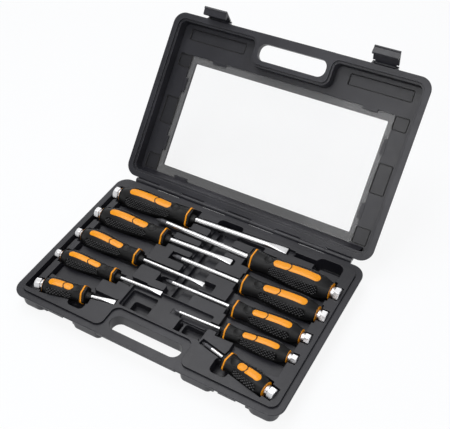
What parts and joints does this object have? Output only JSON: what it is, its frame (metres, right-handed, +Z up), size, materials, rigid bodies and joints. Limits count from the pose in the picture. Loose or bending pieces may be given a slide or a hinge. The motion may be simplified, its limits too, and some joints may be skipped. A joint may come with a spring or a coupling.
{
  "type": "hard tool case",
  "caption": "Hard case for a screwdriver set: formed tray, hinged lid with a clear window, two latches and a handle slot.",
  "frame": {"origin": "middle of the underside that the base stands on", "axes": "+X to the right along the hinge, +Y from the handle to the hinge, +Z up"},
  "size_m": [0.4, 0.451, 0.2399],
  "materials": {
    "case_plastic": "fine satin texture",
    "tray_plastic": "fine satin texture",
    "latch_plastic": "satin",
    "clear_pane": "clear glossy sheet",
    "pin_steel": "plain steel wire",
    "blade_steel": "bright nickel plating",
    "crosshead_steel": "bright nickel plating with a blackened tip",
    "cap_steel": "turned and plated steel",
    "handle_orange": "semi-gloss",
    "grip_rubber": "soft matt with textured side panels"
  },
  "bodies": {
    "base": {"base_outer_shell": "case_plastic", "base_tray": "tray_plastic", "hinge_pin": "pin_steel"},
    "lid": {"lid_outer_shell": "case_plastic", "lid_inner_panel": "tray_plastic", "window_pane": "clear_pane", "latch_pin_left": "pin_steel", "latch_pin_right": "pin_steel"},
    "left_latch": {"latch_left": "latch_plastic"},
    "right_latch": {"latch_right": "latch_plastic"},
    "slotted_1": {"slotted_1_blade": "blade_steel", "slotted_1_strike_cap": "cap_steel", "slotted_1_core": "handle_orange", "slotted_1_grip": "grip_rubber"},
    "slotted_2": {"slotted_2_blade": "blade_steel", "slotted_2_strike_cap": "cap_steel", "slotted_2_core": "handle_orange", "slotted_2_grip": "grip_rubber"},
    "slotted_3": {"slotted_3_blade": "blade_steel", "slotted_3_strike_cap": "cap_steel", "slotted_3_core": "handle_orange", "slotted_3_grip": "grip_rubber"},
    "slotted_4": {"slotted_4_blade": "blade_steel", "slotted_4_strike_cap": "cap_steel", "slotted_4_core": "handle_orange", "slotted_4_grip": "grip_rubber"},
    "slotted_5": {"slotted_5_blade": "blade_steel", "slotted_5_strike_cap": "cap_steel", "slotted_5_core": "handle_orange", "slotted_5_grip": "grip_rubber"},
    "phillips_1": {"phillips_1_blade": "crosshead_steel", "phillips_1_strike_cap": "cap_steel", "phillips_1_core": "handle_orange", "phillips_1_grip": "grip_rubber"},
    "phillips_2": {"phillips_2_blade": "crosshead_steel", "phillips_2_strike_cap": "cap_steel", "phillips_2_core": "handle_orange", "phillips_2_grip": "grip_rubber"},
    "phillips_3": {"phillips_3_blade": "crosshead_steel", "phillips_3_strike_cap": "cap_steel", "phillips_3_core": "handle_orange", "phillips_3_grip": "grip_rubber"},
    "phillips_4": {"phillips_4_blade": "crosshead_steel", "phillips_4_strike_cap": "cap_steel", "phillips_4_core": "handle_orange", "phillips_4_grip": "grip_rubber"},
    "phillips_5": {"phillips_5_blade": "crosshead_steel", "phillips_5_strike_cap": "cap_steel", "phillips_5_core": "handle_orange", "phillips_5_grip": "grip_rubber"}
  },
  "joints": [
    {"name": "lid_hinge", "type": "hinge", "parent": "base", "child": "lid", "pos_m": [0, 0.13237, 0.02753], "axis": [-1, 0, 0], "range_deg": [-133.7, 0]},
    {"name": "left_latch_pivot", "type": "hinge", "parent": "lid", "child": "left_latch", "pos_m": [-0.129, 0.31816, 0.21385], "axis": [-1, 0, 0], "range_deg": [-20, 95]},
    {"name": "right_latch_pivot", "type": "hinge", "parent": "lid", "child": "right_latch", "pos_m": [0.129, 0.31816, 0.21385], "axis": [-1, 0, 0], "range_deg": [-46, 69]},
    {"name": "slotted_1_lift", "type": "slide", "parent": "base", "child": "slotted_1", "axis": [0, 0, 1], "range_m": [0, 0.06]},
    {"name": "slotted_2_lift", "type": "slide", "parent": "base", "child": "slotted_2", "axis": [0, 0, 1], "range_m": [0, 0.06]},
    {"name": "slotted_3_lift", "type": "slide", "parent": "base", "child": "slotted_3", "axis": [0, 0, 1], "range_m": [0, 0.06]},
    {"name": "slotted_4_lift", "type": "slide", "parent": "base", "child": "slotted_4", "axis": [0, 0, 1], "range_m": [0, 0.06]},
    {"name": "slotted_5_lift", "type": "slide", "parent": "base", "child": "slotted_5", "axis": [0, 0, 1], "range_m": [0, 0.06]},
    {"name": "phillips_1_lift", "type": "slide", "parent": "base", "child": "phillips_1", "axis": [0, 0, 1], "range_m": [0, 0.06]},
    {"name": "phillips_2_lift", "type": "slide", "parent": "base", "child": "phillips_2", "axis": [0, 0, 1], "range_m": [0, 0.06]},
    {"name": "phillips_3_lift", "type": "slide", "parent": "base", "child": "phillips_3", "axis": [0, 0, 1], "range_m": [0, 0.06]},
    {"name": "phillips_4_lift", "type": "slide", "parent": "base", "child": "phillips_4", "axis": [0, 0, 1], "range_m": [0, 0.06]},
    {"name": "phillips_5_lift", "type": "slide", "parent": "base", "child": "phillips_5", "axis": [0, 0, 1], "range_m": [0, 0.06]}
  ]
}
